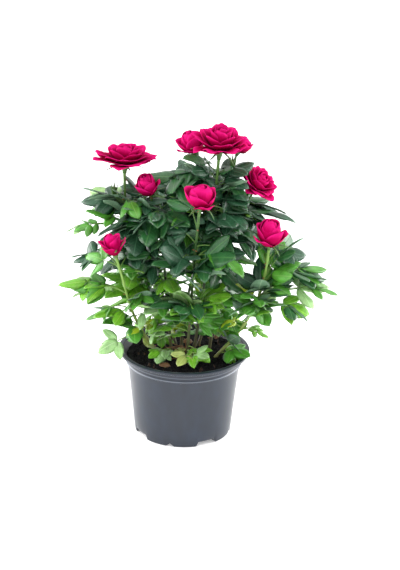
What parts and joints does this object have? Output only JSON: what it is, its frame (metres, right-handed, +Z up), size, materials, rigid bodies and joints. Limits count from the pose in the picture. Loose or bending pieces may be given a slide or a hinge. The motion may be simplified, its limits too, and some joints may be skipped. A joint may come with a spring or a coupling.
{
  "type": "potted rose bush",
  "caption": "Small rose bush in full flower, with slender canes, toothed compound leaves and cupped blooms, growing in a round plastic nursery pot.",
  "frame": {"origin": "centre of the pot's flat underside, on the surface that it stands on", "axes": "+Z up along the pot's axis, +X to the right and -Y to the front as the plant is best seen"},
  "size_m": [0.2695, 0.1819, 0.3203],
  "materials": {
    "pot": "moulded dark blue-grey plastic, satin",
    "soil": "damp dark potting soil with bark crumbs",
    "cane": "smooth light green young bark, browner at the foot",
    "leaf": "satin leaf surface, paler and dull underneath",
    "petal": "soft velvety hot pink"
  },
  "bodies": {
    "root": {"pot": "pot", "soil": "soil", "cane_left": "cane", "cane_left_tall": "cane", "cane_inner_left": "cane", "cane_centre_left": "cane", "cane_centre": "cane", "cane_front": "cane", "cane_centre_right": "cane", "cane_right": "cane", "cane_back_left": "cane", "cane_back_right": "cane", "bloom_top": "petal", "bloom_top_left": "petal", "bloom_top_right": "petal", "bloom_left": "petal", "bloom_right": "petal", "bud_inner_left": "petal", "bloom_front": "petal", "bloom_right_low": "petal", "bud_left_low": "petal", "foliage_top_left": "leaf", "foliage_top_centre": "leaf", "foliage_top_right": "leaf", "foliage_top_back": "leaf", "foliage_right_shoulder": "leaf", "foliage_left_shoulder": "leaf", "foliage_left_high": "leaf", "foliage_left_inner_high": "leaf", "foliage_front_left_high": "leaf", "foliage_front_high": "leaf", "foliage_front_right_high": "leaf", "foliage_back_left_high": "leaf", "foliage_back_right_high": "leaf", "foliage_left_mid": "leaf", "foliage_left_inner": "leaf", "foliage_front_mid": "leaf", "foliage_front_right_mid": "leaf", "foliage_right_mid": "leaf", "foliage_back_left_mid": "leaf", "foliage_back_mid": "leaf", "foliage_back_right_mid": "leaf", "foliage_left_spray": "leaf", "foliage_left_low_spray": "leaf", "foliage_front_left_low": "leaf", "foliage_front_low": "leaf", "foliage_front_right_low": "leaf", "foliage_right_spray": "leaf", "foliage_right_tip": "leaf", "foliage_right_low_spray": "leaf", "foliage_back_left_low": "leaf", "foliage_back_right_low": "leaf", "foliage_pale_left": "leaf", "foliage_small_right": "leaf", "foliage_pot_left": "leaf", "foliage_pot_right": "leaf", "foliage_pot_front": "leaf", "foliage_low_right": "leaf", "foliage_low_left": "leaf"}
  },
  "joints": []
}
